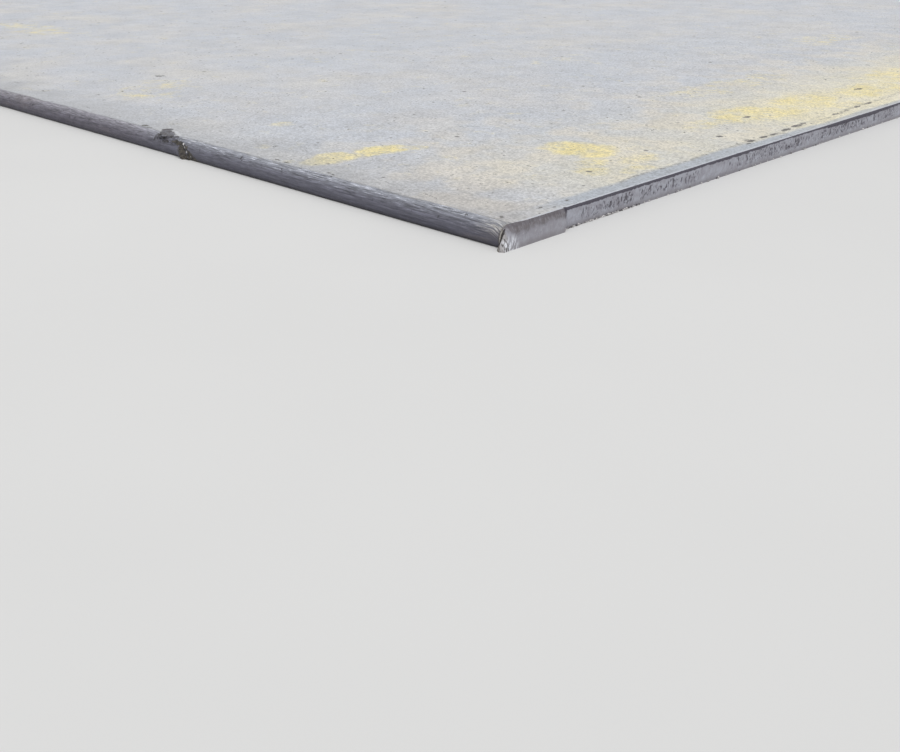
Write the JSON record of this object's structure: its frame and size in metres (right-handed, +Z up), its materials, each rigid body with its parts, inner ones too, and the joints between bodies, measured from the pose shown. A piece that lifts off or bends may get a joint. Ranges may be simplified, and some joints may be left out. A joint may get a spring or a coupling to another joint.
{
  "type": "steel plate",
  "caption": "Hot rolled steel plate with rounded mill edges along its length and torch-cut ends, as it comes from stock.",
  "frame": {"origin": "middle of the underside", "axes": "+X along the rolling direction, from end to end; +Y across the width, from mill edge to mill edge; +Z up, out of the top face"},
  "size_m": [6, 2.0104, 0.018],
  "materials": {
    "mill_scale_steel": "hot rolled, with mill scale"
  },
  "bodies": {
    "root": {"steel_plate": "mill_scale_steel"}
  },
  "joints": []
}
